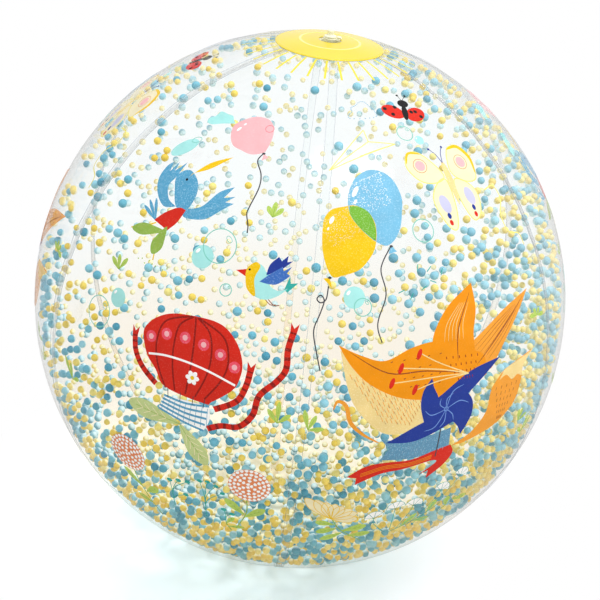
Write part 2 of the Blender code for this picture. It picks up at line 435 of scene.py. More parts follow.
def vinyl_material():
    """Milky moulded vinyl of the valve."""
    n = new_material("valve_vinyl")
    clouding = n.spread(n.noise(400), 0.3, 0.7)
    look = {
        "Base Color": n.mix_colour(clouding, linear(250, 248, 214), linear(255, 254, 232)),
        "Roughness": 0.2,
        "Normal": n.bump(n.noise(1200), 0.08, 0.0001),
    }
    return n.surface(n.mix_shader(0.75, n.add("BsdfTransparent"), n.add("BsdfPrincipled", look)))


# ---- Caps and valve


def make_caps(yellow, clear):
    """The domed yellow cap, with a raised weld ring over the valve's flange, and the flat clear one below."""
    flange_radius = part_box("valve_flange")[1].x
    steps = 44

    def height(radius, lift):
        dome = sqrt((CAP_DOME + lift) ** 2 - radius**2) * POLE_STRETCH
        ring = RING_HEIGHT * e ** (-(((radius - flange_radius) / RING_WIDTH) ** 2))
        hem = 0.6 * RING_HEIGHT * e ** (-(((radius - CAP_RADIUS + HEM_INSET) / RING_WIDTH) ** 2))
        return CENTRE.z + dome + ring + hem

    radii = [CAP_HOLE + (CAP_RADIUS - CAP_HOLE) * step / steps for step in range(steps + 1)]
    outer = [(radius, height(radius, 0)) for radius in radii]
    inner = [(radius, height(radius, -CAP_FILM)) for radius in reversed(radii)]
    dome = turned_mesh("cap", outer + inner)
    add_piece("top_cap_dome", dome, yellow, slot="yellow_film", stands_for=["top_cap"])
    bottom = frame["nodes"]["bottom_cap"].data
    bottom.materials.clear()
    bottom.materials.append(clear)


def softened(profile, radius, closed=True):
    """The profile with each corner rounded by a short curve."""
    count = len(profile)
    points = []
    for index, (x, y) in enumerate(profile):
        if not closed and index in (0, count - 1):
            points.append((x, y))
            continue
        ends = []
        for x1, y1 in (profile[index - 1], profile[(index + 1) % count]):
            share = min(radius / hypot(x1 - x, y1 - y), 0.45)
            ends.append((x + (x1 - x) * share, y + (y1 - y) * share))
        (x0, y0), (x1, y1) = ends
        for t in (0, 0.35, 0.65, 1):
            a, b, c = (1 - t) ** 2, 2 * t * (1 - t), t**2
            points.append((a * x0 + b * x + c * x1, a * y0 + b * y + c * y1))
    return points


def rounded_block(bm, low, high, radius):
    made = bmesh.ops.create_cube(bm, size=1)["verts"]
    size, middle = high - low, (low + high) / 2
    bmesh.ops.transform(bm, matrix=Matrix.Translation(middle) @ Matrix.Diagonal((*size, 1)), verts=made)
    edges = list({edge for vert in made for edge in vert.link_edges})
    bmesh.ops.bevel(bm, geom=edges, offset=radius, segments=3, profile=0.5, affect="EDGES")


def stand_in(node, mesh, vinyl, body):
    """A finer piece that takes the place of a CAD node of the valve."""
    add_piece(f"{node}_moulding", mesh, vinyl, body=body, slot="valve_vinyl", stands_for=[node])
    mesh.set_sharp_from_angle(angle=radians(50))


def make_flange(vinyl):
    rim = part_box("valve_flange")[1].x
    radii = [FLANGE_HOLE + (rim - FLANGE_HOLE) * step / 8 for step in range(9)]
    outer = [(r, CENTRE.z + POLE_STRETCH * sqrt(BALL_RADIUS**2 - r**2)) for r in radii]
    inner = [(r, z - POLE_STRETCH * FLANGE_THICKNESS) for r, z in reversed(outer)]
    stand_in("valve_flange", turned_mesh("flange", softened(outer + inner, 0.2 * MM)), vinyl, "shell")


def make_stem(vinyl):
    """The valve's tube, with a rounded lip and the lug that holds the strap."""
    low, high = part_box("valve_stem")
    lip = -low.x
    under_lip = high.z - LIP_HEIGHT
    outer = [(lip, high.z), (lip, under_lip), (STEM_RADIUS, under_lip), (STEM_RADIUS, low.z)]
    bore = [(STEM_BORE, low.z), (STEM_BORE, high.z)]
    bm = bmesh.new()
    bm.from_mesh(turned_mesh("stem", softened(outer + bore, 0.25 * MM), steps=64))
    lug_low = Vector((STEM_RADIUS, -LUG_WIDTH / 2, under_lip + LUG_INSET))
    lug_high = Vector((high.x, LUG_WIDTH / 2, high.z - LUG_INSET))
    rounded_block(bm, lug_low, lug_high, 0.2 * MM)
    stand_in("valve_stem", to_mesh(bm, "stem"), vinyl, "stem")


def make_plug(vinyl):
    """The stopper, with a waisted knob, a disc and a tapered shank, and its strap."""
    low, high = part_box("valve_plug")
    disc_top = high.z - KNOB_HEIGHT
    disc_foot = disc_top - PLUG_DISC
    knob = [(0, high.z), (KNOB_RADIUS, high.z), (KNOB_RADIUS, high.z - 0.4 * KNOB_HEIGHT)]
    knob += [(0.78 * KNOB_RADIUS, disc_top + 0.25 * KNOB_HEIGHT), (KNOB_RADIUS, disc_top)]
    disc = [(high.x, disc_top), (high.x, disc_foot)]
    shank = [(SHANK_RADIUS, disc_foot), (0.8 * SHANK_RADIUS, low.z), (0, low.z)]
    profile = softened(knob + disc + shank, 0.45 * MM, closed=False)
    stand_in("valve_plug", turned_mesh("plug", profile, steps=64, closed=False), vinyl, "plug")
    bm = bmesh.new()
    rounded_block(bm, *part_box("plug_strap"), 0.15 * MM)
    stand_in("plug_strap", to_mesh(bm, "strap"), vinyl, "plug")


def make_hinge_rib(vinyl):
    """The rounded fold that joins the strap to the lug, on the plug's hinge line."""
    middle = Vector(joint("plug_hinge")["pos_m"])
    reach = Vector((0.45 * MM, 0.45 * LUG_WIDTH, 0.45 * MM))
    bm = bmesh.new()
    rounded_block(bm, middle - reach, middle + reach, 0.4 * MM)
    add_piece("plug_hinge_rib", to_mesh(bm, "rib"), vinyl, body="stem", slot="valve_vinyl")


def make_flap(vinyl):
    low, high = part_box("valve_flap")
    profile = softened([(0, high.z), (high.x, high.z), (high.x, low.z), (0, low.z)], 0.12 * MM, closed=False)
    stand_in("valve_flap", turned_mesh("flap", profile, steps=48, closed=False), vinyl, "flap")


def make_skirt(vinyl):
    """The thin sleeve between flange and stem, which on the real valve folds when the stem slides. Here it is
    one fixed shape on no body.
    """
    low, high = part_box("valve_skirt")
    rings = 16
    outer = []
    for step in range(rings + 1):
        share = step / rings
        radius = high.x + (SKIRT_FOOT - high.x) * (share * share * (3 - 2 * share))
        outer.append((radius, high.z + (low.z - high.z) * share))
    inner = [(radius - SKIRT_WALL, height) for radius, height in reversed(outer)]
    sleeve = turned_mesh("skirt", outer + inner, steps=48)
    node = ["valve_skirt"]
    skirt = add_piece("valve_skirt_sleeve", sleeve, vinyl, body=None, slot="valve_vinyl", stands_for=node)
    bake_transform(skirt)


# ---- Film


def pucker(longitude, latitude):
    """How far the film dips near a seam, where welding gathers it into small folds."""
    turn = (longitude - FRONT_SEAM) / PANEL_TURN
    from_seam = abs(turn - round(turn)) * PANEL_TURN * BALL_RADIUS * cos(latitude)
    place = Vector((round(turn) * 7.3, latitude * PUCKER_WAVES / 3, from_seam / (4 * PUCKER_REACH)))
    return PUCKER_DEPTH * max(0, 0.35 + noise.noise(place)) * e ** (-from_seam / PUCKER_REACH)


def film_point(longitude, latitude, depth=0.0):
    """A point of the film, with its folds, and with the flat that it settles on at the bottom."""
    point = on_ball(longitude, latitude, -depth - pucker(longitude, latitude))
    point.z = max(point.z, PANEL_FLOOR + depth)
    return point


def film_columns(radius):
    """Pairs (longitude, depth) across a panel, from its open edge to its lap under the next panel."""
    half = PANEL_TURN / 2
    start = -half + LAP_COVER / radius
    end = half - JOGGLE_START / radius
    under = FILM + GAP
    columns = [(-half, 0.0)]
    columns += [(start + (end - start) * step / PANEL_COLUMNS, 0.0) for step in range(PANEL_COLUMNS + 1)]
    columns += [(half - JOGGLE_END / radius, under), (half + LAP / radius, under)]
    return columns


def make_film(material):
    for number in range(PANELS):
        middle = FRONT_SEAM + (number + 0.5) * PANEL_TURN
        bm = bmesh.new()
        rows = []
        for row in range(PANEL_ROWS + 1):
            latitude = PANEL_TOP - 2 * PANEL_TOP * row / PANEL_ROWS
            columns = film_columns(BALL_RADIUS * cos(latitude))
            rows.append([bm.verts.new(film_point(middle + lon, latitude, d)) for lon, d in columns])
        for upper, lower in zip(rows, rows[1:]):
            for left, right in zip(range(len(upper)), range(1, len(upper))):
                bm.faces.new((upper[left], lower[left], lower[right], upper[right]))
        node = f"panel_{number + 1}"
        panel = add_piece(f"film_{node}", to_mesh(bm, "film"), material, stands_for=[node])
        thicken(panel, FILM, -1)


def make_welds(material):
    """The two edges of each lap, seen as fine lines along the seams."""
    for number in range(PANELS):
        seam = FRONT_SEAM + number * PANEL_TURN
        for side, shift, depth in (("outer", 0.0, -WELD_WIDTH), ("inner", LAP, FILM + GAP)):
            curve = bpy.data.curves.new("weld", "CURVE")
            curve.dimensions = "3D"
            curve.bevel_depth = WELD_WIDTH
            curve.bevel_resolution = 1
            curve.use_fill_caps = True
            line = curve.splines.new("POLY")
            line.points.add(PANEL_ROWS)
            for step, point in enumerate(line.points):
                latitude = PANEL_TOP - WELD_SPAN * PANEL_TOP * step / PANEL_ROWS
                turn = seam + shift / (BALL_RADIUS * cos(latitude))
                point.co = (*film_point(turn, latitude, depth), 1)
            add_piece(f"weld_{side}_{number + 1}", curve, material)


# ---- Print

# Name: colour on screen, opacity, grain. Inks come out a little darker, so white starts over 255.
INKS = {
    "red": ((222, 42, 26), 0.97, 0.2),
    "dark_red": ((150, 26, 18), 0.95, 0.3),
    "rose": ((246, 82, 104), 0.8, 0.5),
    "pink": ((252, 188, 192), 0.93, 0.3),
    "orange": ((247, 152, 12), 0.98, 0.15),
    "amber": ((250, 164, 52), 0.95, 0.3),
    "cream": ((250, 222, 150), 0.95, 0.5),
    "brown": ((150, 70, 30), 0.9, 0.4),
    "navy": ((36, 60, 152), 0.98, 0.1),
    "cornflower": ((120, 160, 230), 0.9, 0.1),
    "sky": ((120, 190, 224), 0.95, 0.6),
    "yellow": ((246, 200, 8), 0.97, 0.5),
    "grass": ((118, 182, 52), 0.96, 0.6),
    "aqua": ((172, 238, 234), 0.82, 0.2),
    "mint": ((132, 214, 196), 0.8, 0.1),
    "leaf": ((186, 216, 96), 0.85, 0.4),
    "moss": ((150, 186, 76), 0.9, 0.5),
    "coral": ((236, 140, 88), 0.92, 0.3),
    "teal": ((50, 176, 166), 0.9, 0.2),
    "string": ((70, 70, 76), 0.95, 0.0),
    "steel": ((98, 152, 186), 0.93, 0.6),
    "sage": ((206, 222, 148), 0.85, 0.5),
    "white": ((266, 266, 265), 0.97, 0.0),
    "black": ((24, 24, 26), 0.98, 0.0),
    "lavender": ((206, 206, 236), 0.92, 0.2),
    "lemon": ((246, 234, 130), 0.85, 0.1),
    "straw": ((250, 238, 196), 0.94, 0.2),
    "wing_blue": ((84, 164, 204), 0.95, 0.7),
    "royal": ((62, 112, 192), 0.95, 0.5),
    "sun": ((238, 224, 78), 0.92, 0.1),
}


def points_of(path):
    """A list of points, or of other groups of numbers, from text such as "x,y x,y". A list stays as it is."""
    if isinstance(path, str):
        return [tuple(float(number) for number in pair.split(",")) for pair in path.split()]
    return path


def between(start, end, share):
    return tuple(a + (b - a) * share for a, b in zip(start, end))


def sideways(start, end, width):
    """Half of the width, as a step to the left of the way from start to end."""
    dx, dy = end[0] - start[0], end[1] - start[1]
    length = hypot(dx, dy) or 1
    return -dy / length * width / 2, dx / length * width / 2


def smooth(points, closed=False, steps=6):
    """Points of a smooth curve through these points. Two points make a straight line."""
    count = len(points)
    if count == 2:
        return list(points)
    curve = []
    for index in range(count if closed else count - 1):
        near = range(index - 1, index + 3)
        corners = [points[i % count if closed else min(count - 1, max(0, i))] for i in near]
        for step in range(steps):
            t = step / steps
            weights = (
                (-t + 2 * t**2 - t**3) / 2,
                (2 - 5 * t**2 + 3 * t**3) / 2,
                (t + 4 * t**2 - 3 * t**3) / 2,
                (-(t**2) + t**3) / 2,
            )
            curve.append(tuple(sum(w * p[axis] for w, p in zip(weights, corners)) for axis in (0, 1)))
    if not closed:
        curve.append(tuple(points[-1]))
    return curve


def ellipse_points(x, y, wide, high, turn=0.0, count=28):
    points = []
    for step in range(count):
        a = 2 * pi * step / count
        u, v = wide * cos(a), high * sin(a)
        points.append((x + u * cos(turn) - v * sin(turn), y + u * sin(turn) + v * cos(turn)))
    return points


class Sketch:
    """Artwork of one panel, in millimetres east and north of an anchor on the ball.

    Each shape is given an ink and a level. A higher level lies over a lower one.
    """

    def __init__(self, panel):
        self.middle = degrees(FRONT_SEAM + (panel + 0.5) * PANEL_TURN)
        self.points = {ink: [] for ink in INKS}
        self.faces = {ink: [] for ink in INKS}

    def at(self, offset, latitude):
        """Moves the anchor: degrees east of the panel's middle, and degrees north of the equator."""
        longitude, latitude = radians(self.middle + offset), radians(latitude)
        self.out = Vector((cos(longitude) * cos(latitude), sin(longitude) * cos(latitude), sin(latitude)))
        self.east = Vector((-sin(longitude), cos(longitude), 0))
        self.north = self.out.cross(self.east)
        return self

    def place(self, x, y, level):
        length = hypot(x, y) * MM
        direction = self.out.copy()
        if length > 1e-9:
            turn = length / BALL_RADIUS
            along = (self.east * x + self.north * y) * MM / length
            direction = self.out * cos(turn) + along * sin(turn)
        direction.z *= POLE_STRETCH
        return CENTRE + direction * (BALL_RADIUS + INK_LIFT + level * INK_LAYER)

    def store(self, ink, level, points, faces):
        first = len(self.points[ink])
        self.points[ink] += [self.place(x, y, level) for x, y in points]
        self.faces[ink] += [[first + corner for corner in face] for face in faces]

    def fill(self, ink, level, path):
        """Fills a smooth loop. Slashes split it into smooth stretches, and each ends in a corner."""
        first, *others = [points_of(stretch) for stretch in path.split("/")]
        loop = smooth(first)[:-1] if others else smooth(first, closed=True)
        corner = first[-1]
        for stretch in others:
            loop += smooth([corner] + stretch)[:-1]
            corner = stretch[-1]
        self.fill_loop(ink, level, loop)

    def fill_loop(self, ink, level, loop):
        """Fills an outline with triangles small enough to follow the ball."""
        (west, east), (south, north) = ((min(values), max(values)) for values in zip(*loop))
        inner = []
        for column in range(1, ceil((east - west) / INK_GRID)):
            for row in range(1, ceil((north - south) / INK_GRID)):
                inner.append((west + column * INK_GRID, south + (row + 0.5 * (column % 2)) * INK_GRID))
        points = [Vector(p) for p in loop + inner]
        filled = delaunay_2d_cdt(points, [], [list(range(len(loop)))], 1, 1e-4)
        used = sorted({corner for face in filled[2] for corner in face})
        order = {old: new for new, old in enumerate(used)}
        faces = [[order[corner] for corner in face] for face in filled[2]]
        self.store(ink, level, [tuple(filled[0][old]) for old in used], faces)

    def disc(self, ink, level, x, y, wide, high=None, turn=0.0):
        count = 28 if wide > 2 else 12
        self.fill_loop(ink, level, ellipse_points(x, y, wide, high or wide, radians(turn), count))

    def line(self, ink, level, path, width, closed=False, taper=False):
        """A stroke of this width along a smooth curve, with pointed ends if tapered."""
        path = smooth(points_of(path), closed)
        if len(path) == 2:
            path = [between(*path, step / 4) for step in range(5)]
        count = len(path)
        sides = []
        for index, (x, y) in enumerate(path):
            before = path[index - 1] if closed or index else path[0]
            after = path[(index + 1) % count] if closed or index < count - 1 else path[-1]
            fade = 0.12 + 0.88 * sin(pi * index / (count - 1)) ** 0.7 if taper else 1
            dx, dy = sideways(before, after, width * fade)
            sides += [(x - dx, y - dy), (x + dx, y + dy)]
        faces = []
        for index in range(count if closed else count - 1):
            here, there = 2 * index, 2 * ((index + 1) % count)
            faces.append([here, there, there + 1, here + 1])
        self.store(ink, level, sides, faces)

    def ring(self, ink, level, x, y, radius, width, high=None, turn=0.0):
        loop = ellipse_points(x, y, radius, high or radius, radians(turn), 16)
        self.line(ink, level, loop, width, closed=True)

    def leaf(self, ink, level, foot, tip, width):
        """A leaf with a pointed foot and a rounder tip."""
        sx, sy = sideways(foot, tip, width)
        loop = [foot]
        for share, side in points_of("0.3,-0.6 0.65,-1 0.9,-0.6 1,0 0.9,0.6 0.65,1 0.3,0.6"):
            x, y = between(foot, tip, share)
            loop.append((x + sx * side, y + sy * side))
        self.fill_loop(ink, level, smooth(loop, closed=True, steps=3))

    def hatch(self, ink, level, first, last, count, lean, length, width):
        """A row of short pencil dashes, which lean by this many degrees."""
        dx, dy = cos(radians(lean)) * length / 2, sin(radians(lean)) * length / 2
        for index in range(count):
            x, y = between(first, last, index / max(1, count - 1))
            self.line(ink, level, [(x - dx, y - dy), (x + dx, y + dy)], width)

    def piece(self, name, materials):
        """One piece, with a material slot for each ink that it uses."""
        bm = bmesh.new()
        inks = [ink for ink in INKS if self.faces[ink]]
        for slot, ink in enumerate(inks):
            vertices = [bm.verts.new(point) for point in self.points[ink]]
            for face in self.faces[ink]:
                try:
                    bm.faces.new([vertices[corner] for corner in face]).material_index = slot
                except ValueError:  # the same face twice
                    continue
        piece = add_piece(name, to_mesh(bm, "print"), *(materials[ink] for ink in inks))
        thicken(piece, INK_THICKNESS, 1)
        piece.modifiers.new("even shading", "WEIGHTED_NORMAL").weight = 80


# Motifs that both designs use


def sprig(s, foot, tips):
    for tip in points_of(tips):
        s.leaf("leaf", 0, foot, tip, 3.0)
        s.line("moss", 1, [foot, between(foot, tip, 0.7)], 0.25)


def bubble(s, x, y, radius):
    s.ring("mint", 0, x, y, radius, 0.55)
    s.ring("mint", 0, x + 0.45 * radius, y + 0.5 * radius, 0.22 * radius, 0.35, 0.13 * radius, -40)


def full_bubble(s, x, y, radius):
    s.disc("aqua", 0, x, y, radius)
    s.disc("white", 1, x - 0.55 * radius, y + 0.4 * radius, 0.14 * radius, 0.26 * radius, -35)


def balloon(s, ink, outline, knot, string, shine):
    """A balloon on a string. Shine lists white spots: x, y, half width and half height."""
    s.fill(ink, 1, outline)
    s.fill_loop(ink, 1, points_of(knot))
    s.disc("string", 2, *points_of(knot)[0], 1.0, 0.7)
    s.line("string", 0, string, 0.7)
    for spot in points_of(shine):
        s.disc("white", 3, *spot, -25)


def sprayed(s, ink, x, y, reach, toward, count):
    """A sprayed edge: fine dots that thin out from (x, y) in the direction of the angle toward."""
    rng = random.Random(count)
    a = radians(toward)
    for _ in range(count):
        away = reach * rng.random() ** 1.6
        side = reach * rng.uniform(-0.75, 0.75) * (1 - 0.3 * away / reach)
        dot = (x + away * cos(a) - side * sin(a), y + away * sin(a) + side * cos(a))
        s.disc(ink, 2, *dot, rng.uniform(0.12, 0.26))


def daisy_head(s, x, y, radius):
    """A round coral flower head of many small white petals, in rings."""
    s.disc("coral", 0, x, y, radius)
    rings = 5
    half = 0.42 * radius / rings
    for ring in range(rings):
        reach = radius * (ring + 0.5) / rings
        petals = max(3, round(6.2 * ring))
        for petal in range(petals):
            a = 2 * pi * (petal + 0.5 * (ring % 2)) / petals
            foot, tip = ((x + r * cos(a), y + r * sin(a)) for r in (reach - half, reach + half))
            s.leaf("white", 1, foot, tip, 2.4 * half)


def ribs(s, ink, foot, tip, shares, lean, length, width):
    """Pairs of side ribs that branch off a leaf's middle at these shares of its length."""
    turn = atan2(tip[1] - foot[1], tip[0] - foot[0])
    for share in shares:
        x, y = between(foot, tip, share)
        for a in (turn - lean, turn + lean):
            s.line(ink, 1, [(x, y), (x + length * cos(a), y + length * sin(a))], width)


def leafy_stem(s, stem, leaves, ink="moss"):
    """A stem with ribbed leaves. Each is x and y of the foot, x and y of the tip, and the width."""
    s.line(ink, 0, stem, 0.7)
    for x0, y0, x1, y1, wide in points_of(leaves):
        foot, tip = (x0, y0), (x1, y1)
        s.leaf("leaf", 0, foot, tip, wide)
        s.line(ink, 1, [foot, between(foot, tip, 0.8)], 0.3)
        ribs(s, ink, foot, tip, (0.3, 0.5, 0.68), 0.7, wide * 0.36, 0.25)


def seed_flower(s, foot, heads, radius=1.9):
    """A thin teal stalk that forks to several round heads."""
    for x, y in points_of(heads):
        fork = (foot[0] + (x - foot[0]) * 0.1, foot[1] + (y - foot[1]) * 0.62)
        s.line("teal", 0, [foot, fork, (x, y)], 0.45)
        s.disc("teal", 1, x, y, radius, radius * 0.75)


# Design A


def banded_ribbon(s, path):
    """A red ribbon with dark cross bands and a forked end."""
    width = 3.6
    points = points_of(path)
    s.line("red", 1, points, width)
    fine = smooth(points, steps=24)
    bands = 2 * len(points)
    pitch = len(fine) / bands
    for band in range(bands):
        start = round((band + 0.5) * pitch)
        stretch = fine[start : start + round(0.36 * pitch) + 1]
        if len(stretch) > 1:
            s.line("dark_red", 2, [stretch[0], stretch[-1]], width)
    x, y = points[-1]
    foot, flare = width / 2, 1.3 * width / 2
    fork = [(x + foot, y - 1), (x + flare, y + 5), (x, y + 2), (x - flare, y + 5), (x - foot, y - 1)]
    s.fill_loop("red", 1, fork)


def hot_air_balloon(s):
    """A red balloon with a striped basket, ribbons on both sides and two pale leaves below."""
    s.at(9, 12)
    s.fill("red", 1, "-32,2 -32,8 -26,15 -16,20 -2,22 10,22 18,19 25,12 "
           "29,3 29,-5 26,-13 15,-23 11,-25 -14,-22 -21,-14 -28,-7")
    for x in (-23, -12, 0, 11, 21):
        gore = [(-2 + 0.1 * x, 21.5), (0.8 * x - 1, 15), (x, 3), (0.9 * x, -9), (0.55 * x - 1, -22.5)]
        s.line("dark_red", 2, gore, 1.0)
    for x, y in points_of("-27,4 -17.5,8 -6,9 5.5,8 16,5 25,0"):
        s.disc("rose", 3, x, y, 3.3)
        s.disc("pink", 4, x, y, 1.6)
    s.line("white", 3, "-27,-6 -16,-4 -2,-4 12,-6 27,-10", 1.2)
    for petal in range(6):
        a = 2 * pi * petal / 6
        s.leaf("white", 3, (2, -12), (2 + 4.2 * cos(a), -12 + 4.2 * sin(a)), 2.7)
    s.disc("yellow", 4, 2, -12, 1.2)
    for x in (-12, -4, 4, 11):
        s.line("string", 2, [(x, -22.5), (x * 0.95, -28)], 0.45)
    s.fill("white", 1, "-14,-27 14,-26 / 15,-34 12,-42 / -1,-40 -17,-36 / -14,-27")
    for row in range(5):
        drop = row / 4
        rim = [(-14 - 3 * drop, -27 - 9 * drop), (0, -28 - 12 * drop), (14 - 2 * drop, -26 - 16 * drop)]
        s.line("wing_blue", 2, rim, 1.3)
    for column in range(9):
        lean = (column - 4) * 3.3
        foot = (lean * 1.08 - 0.8, -40 + 0.3 * abs(lean) * (lean < 0))
        s.line("wing_blue", 2, [(lean, -27.5), foot], 0.3)
    banded_ribbon(s, "-20,-22 -30,-15 -36,-7 -38,2")
    banded_ribbon(s, "17,-27 29,-19 33,-9 34,0")
    banded_ribbon(s, "14,-40 22,-36 32,-34 39,-25 41,-13 49,-3 53,5 52,16 53,26")
    foot = (-3, -42)
    for tip in ((-38, -39), (15, -65)):
        s.leaf("sage", 0, foot, tip, 12)
        s.line("moss", 1, [foot, between(foot, tip, 0.85)], 0.4)
        ribs(s, "straw", foot, tip, (0.25, 0.4, 0.55, 0.7), 0.6, 6, 0.35)


def bluebird(s):
    s.at(-3, 38)
    s.fill("wing_blue", 1, "-9,17 -12,12 -9,5 -3,-4 4,-4 6,5 3,13 -4,18")
    s.fill("wing_blue", 1, "-3,-4 -11,-6 -19,0 -23,8 -22,16 -19,20 / -18,14 / -15,21 / -15,15 / "
           "-10,22 / -12,12 -14,6 -10,-1 -3,-4")
    s.fill("wing_blue", 1, "2,-4 5,-8 17,-5 24,3 29,9 / 24,8 / 28,13 / 22,10 / 25,18 / 18,12 12,1 2,-4")
    s.fill("yellow", 1, "-3,17 6,23 15,34 / 4,26 -4,14.5 / -3,17")
    s.fill("red", 2, "-13,-15 -8,-9 -1,-4 4,-4 / 2,-12 -2,-18 / -13,-15")
    for tip in points_of("-24,-9 -22,-5 -18,-3"):
        s.leaf("wing_blue", 1, (-12, -15), tip, 2.2)
    for leg in ("-11,-16 -20,-21 -27,-23", "-4,-18 -5,-28 -4,-36"):
        s.line("yellow", 1, leg, 0.8)
    s.leaf("moss", 2, (-3, -19), (-26, -23), 7)
    s.leaf("moss", 2, (-3, -16), (-6, -33), 8)
    s.disc("black", 3, -4.5, 12.5, 0.8)
    for row in range(5):
        s.hatch("sky", 2, (-20 + row, 2 + 3 * row), (-17 + row, 2 + 3 * row), 3, 70, 1.6, 0.35)
        s.hatch("sky", 2, (6 + 3 * row, -6 + 2 * row), (9 + 3 * row, -3 + 2 * row), 3, 50, 1.6, 0.35)
    for step in range(9):
        s.disc("leaf", 0, -14 + 2.6 * step, -38 + 1.2 * sin(2.4 * step), 0.45)


def small_bird(s):
    s.at(19, 28)
    s.fill("aqua", 1, "-2,9 2,7 5,2 7,-2 12,-4 17,-2 / 12,-7 5,-10 -2,-8 -4,-2 -2,9")
    s.fill("teal", 0, "15,-3 17,5 / 18,1 / 22,2 / 17,-4 / 15,-3")
    s.fill("yellow", 2, "-7,0 -7,5 -3,9 0,7 -2,0 0,-9 -5,-6")
    s.fill("red", 2, "-13,3 -7,4.5 / -7,0.5 / -13,3")
    s.fill("navy", 2, "4,3 5,9 9,14 / 11,12 / 14,15.5 / 14,12 / 17,13 / 11,7 4,3")
    s.fill("royal", 3, "1,-1 6,4 12,9 / 13,7 / 17,10 / 15,6 / 17,5 / 10,-1 1,-1")
    s.disc("black", 3, -5.5, 4.5, 0.6)
    for x in (5, 7):
        s.line("brown", 0, [(x, -9), (x + 4, -12), (x + 7, -11.5)], 0.45)


def design_a(s):
    hot_air_balloon(s)
    s.at(7, 54)
    outline = "-13,-2 -14,5 -10,10 -4,14 4,14 9,9 11,2 11,-5 10,-8 4,-11 -3,-10 -9,-8"
    string = "10,-9 9,-14 14,-21 16,-29 15,-41 15,-45 18,-51 19,-55"
    balloon(s, "pink", outline, "10.5,-8.5 14,-10 11,-13", string, "-10,3,0.8,1.8 -8,7,0.6,1")
    s.ring("rose", 3, 7, 8, 2.4, 0.3)
    s.at(-8, 56).fill("aqua", 0, "-5,-6 -6,-3 -3,0 -2,4 3,4 7,4 9,2 12,0 / 5,-3 -1,-6 -5,-6")
    s.at(-12, 48).disc("aqua", 0, 1, -1, 9, 4.4, 50)
    s.ring("mint", 0, 5, 6, 3, 0.45, 1.8, 35)
    bluebird(s)
    small_bird(s)
    bubble(s.at(9, 32), 1, 1, 9.5)
    full_bubble(s, -7, -7, 6.5)
    bubble(s, 11, -21, 3.3)
    bubble(s.at(-14, 13), 0, 0, 9)
    full_bubble(s, 12, 13, 5.5)
    sprig(s.at(19, 39), (1, 1), "-3,7 1,10 6,7")
    sprig(s.at(26, 3), (1, -1), "-5,7 1,12 8,5")
    sprig(s.at(-12, 22), (0, 0), "-8,5 -3,8 4,8")
    daisy_head(s.at(22, -12), 1, -1, 12.5)
    leafy_stem(s, "0,-13 0,-25 -6,-43", "-1,-27,-13,-15,6 -1,-29,11,-19,6")
    daisy_head(s.at(-4, -14), -1, 1, 13)
    leafy_stem(s, "2,-11 7,-28 14,-49", "6,-24,-6,-13,5 8,-28,18,-20,6 11,-38,0,-34,5")
    seed_flower(s.at(6, -24), (0, 1), "5,26 -1,24 11,27 9,15")
    seed_flower(s.at(13, -24), (1, -1), "3,32 -2,31 8,30 12,25", 1.6)
    seed_flower(s.at(18, -24), (-1, -2), "-2,11 3,8")
    leafy_stem(s, "-1,-3 2,-10", "-1,-3,4,5,3.5 0,-6,10,-4,3.5")
    sprig(s.at(-20, -4), (0, 0), "-9,12 -2,10 7,3")


# Design B


def balloon_pair(s):
    s.at(-23, 37)
    outline = ("-14,5 -13,11 -9,16 -2,18 4,19 11,16 15,10 16,3 15,-5 11,-12 6,-17 "
               "-2,-20 -8,-21 -12,-14 -14,-5")
    string = "-10,-26 -11,-33 -14,-35 -16,-33 -14,-31 -12,-34 -14,-41 -17,-50 -15,-61 -12,-72"
    balloon(s, "yellow", outline, "-9.5,-21.5 -13,-22 -8,-27", string, "-9,10,1.1,2.4 -11,5,0.5,1")
    outline = ("0,23 2,31 6,37 13,41 21,40 27,35 31,26 31,18 30,9 27,2 23,-2 19,-2 "
               "13,1 6,7 1,14")
    string = "24,-3 20,-11 19,-17 22,-26 22,-32 19,-42 19,-48 22,-55"
    balloon(s, "sky", outline, "24.5,-2.5 28,-5 23,-7", string, "4,27,1.3,3.6 4,21,0.8,1.6")
    sprayed(s, "white", 7, 34, 19, -62, 420)
    sprayed(s, "straw", -8, 13, 16, -60, 260)
    s.fill("grass", 3, "1,18.3 1,14 6,7 13,1.2 15.6,0 / 15.6,6 14,11.5 11,16 6,18.4 1,18.3")


def butterfly(s):
    """A pale butterfly with yellow wing edges and small coloured marks."""
    s.at(8, 48)
    wings = (
        "-3,1 -12,16 -20,18 -25,10 -20,0 -10,-3",
        "3,2 8,16 17,17 23,9 21,-4 11,-5",
        "-3,-2 -12,-5 -17,-14 -13,-28 -7,-31 -3,-18",
        "3,-3 12,-6 17,-14 14,-25 7,-28 2,-16",
    )
    for outline in wings:
        s.fill("straw", 1, outline)
        s.line("lemon", 2, outline, 0.7, closed=True)
    s.line("yellow", 3, "-24,12 -20,18 -12,16", 1.5, taper=True)
    s.line("yellow", 3, "8,16 17,17 23,9 22,-1", 2.6, taper=True)
    for x, y, size in points_of("-16,9,3.2 14,7,3.4"):
        s.disc("pink", 2, x, y, size)
        s.ring("coral", 2, x, y, size * 1.35, 0.35)
    for x, y in ((-10, -16), (10, -14)):
        s.disc("lavender", 2, x, y, 3.4, 5.6, 12)
        s.disc("navy", 2, x, y - 7, 1.3, 1.8, 10)
        s.disc("red", 2, x, y - 11, 1.2, 1.7, 10)
    s.fill("cream", 3, "0,9 -2,4 -2,-8 0,-18 2,-8 2,4")
    for side in (-1, 1):
        s.line("navy", 3, [(0, 8), (2 * side, 14), (5 * side, 18)], 0.45)
        s.disc("navy", 3, 5 * side, 18, 0.8)
    s.line("lemon", 0, "24,-12 33,-10 36,-18 31,-28 34,-38 44,-40 47,-47", 0.9)


